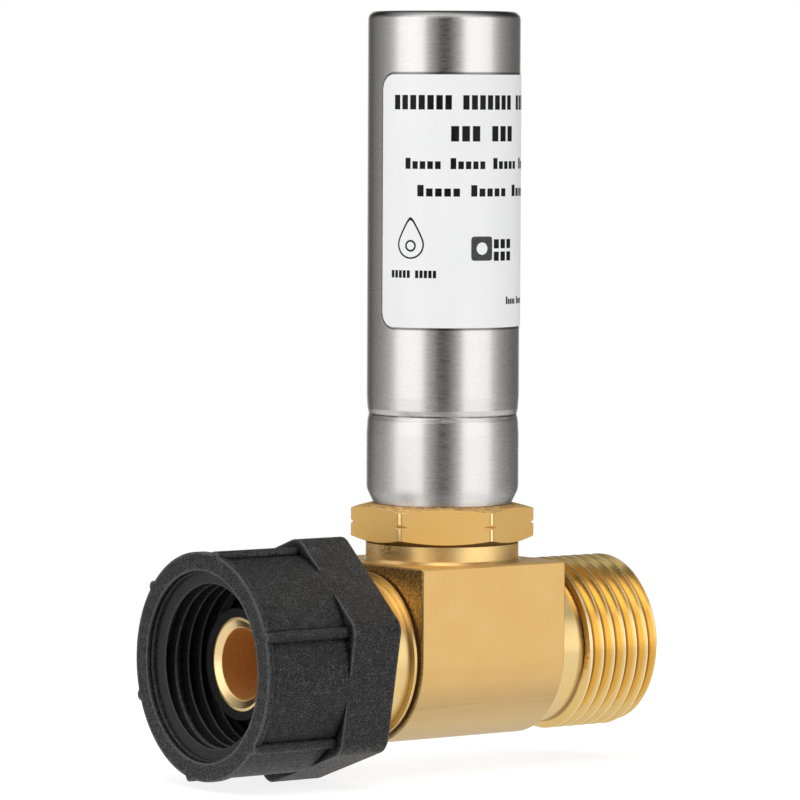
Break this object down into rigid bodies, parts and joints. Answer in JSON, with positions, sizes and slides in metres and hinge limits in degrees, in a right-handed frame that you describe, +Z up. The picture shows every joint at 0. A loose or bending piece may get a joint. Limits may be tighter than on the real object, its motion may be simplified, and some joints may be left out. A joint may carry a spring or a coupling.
{
  "type": "water hammer arrestor",
  "caption": "Brass hose-thread tee with a black swivel inlet nut and an upright steel air chamber whose sliding piston absorbs water hammer.",
  "frame": {"origin": "on the run axis, in the plane where the inlet thread starts inside the swivel nut's mouth", "axes": "+X along the run from the inlet to the outlet, +Z up the branch along the air chamber, -Y towards the label"},
  "size_m": [0.0781, 0.0364, 0.1177],
  "materials": {
    "brass": "satin machined",
    "steel": "fine brushed",
    "black_plastic": "fine spark-eroded grain",
    "rubber": "matte",
    "white_plastic": "smooth",
    "label_film": "white film, semi-matte"
  },
  "bodies": {
    "tee_assembly": {"tee_body": "brass", "inlet_tailpiece": "brass", "inlet_washer": "rubber", "hex_adapter": "brass", "adapter_seal": "rubber", "chamber_seal": "rubber", "chamber_shell": "steel", "label": "label_film"},
    "inlet_nut": {"swivel_nut": "black_plastic"},
    "sliding_piston": {"piston": "white_plastic", "piston_ring_upper": "rubber", "piston_ring_lower": "rubber"}
  },
  "joints": [
    {"name": "nut_spin", "type": "hinge", "parent": "tee_assembly", "child": "inlet_nut", "pos_m": [0, 0, 0], "axis": [1, 0, 0], "continuous": true},
    {"name": "piston_slide", "type": "slide", "parent": "tee_assembly", "child": "sliding_piston", "axis": [0, 0, 1], "range_m": [0, 0.035], "stiffness_N_per_m": 100, "springref_m": -0.02}
  ]
}
